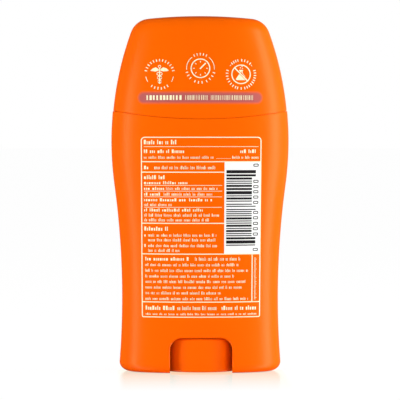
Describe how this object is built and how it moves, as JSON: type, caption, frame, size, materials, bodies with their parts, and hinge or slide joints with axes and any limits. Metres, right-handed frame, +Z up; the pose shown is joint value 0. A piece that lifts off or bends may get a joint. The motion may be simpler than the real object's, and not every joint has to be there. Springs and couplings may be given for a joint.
{
  "type": "deodorant stick",
  "caption": "Oval twist-up dispenser for a cream: waisted barrel, domed cap, pierced applicator, and a knob and screw that raise an elevator.",
  "frame": {"origin": "middle of the foot's flat edge, on the surface that the stick stands on", "axes": "+Z up along the stick and the screw, +X across its width, -Y towards the printed face"},
  "size_m": [0.0604, 0.0321, 0.1207],
  "materials": {
    "orange_plastic": "satin",
    "white_plastic": "satin",
    "cream": "satin",
    "white_ink": "satin",
    "dark_ink": "satin",
    "mauve_ink": "satin"
  },
  "bodies": {
    "barrel": {"barrel": "orange_plastic", "applicator": "white_plastic", "cream_head": "cream", "cream_column": "cream", "panel_print": "white_ink", "code_bars": "dark_ink"},
    "cap": {"cap": "orange_plastic", "cap_signs": "white_ink", "cap_band": "mauve_ink"},
    "elevator": {"elevator": "white_plastic"},
    "screw": {"spindle": "white_plastic", "knob": "orange_plastic"}
  },
  "joints": [
    {"name": "cap_lift", "type": "slide", "parent": "barrel", "child": "cap", "axis": [0, 0, 1], "range_m": [0, 0.06]},
    {"name": "knob_turn", "type": "hinge", "parent": "barrel", "child": "screw", "pos_m": [0, 0, 0.006], "axis": [0, 0, 1], "range_deg": [0, 5760]},
    {"name": "elevator_rise", "type": "slide", "parent": "barrel", "child": "elevator", "axis": [0, 0, 1], "range_m": [0, 0.0641], "deforming": ["cream_column"]}
  ],
  "couplings": [
    {"joint": "elevator_rise", "follows": "knob_turn", "m_per_rad": 0.00063662}
  ]
}
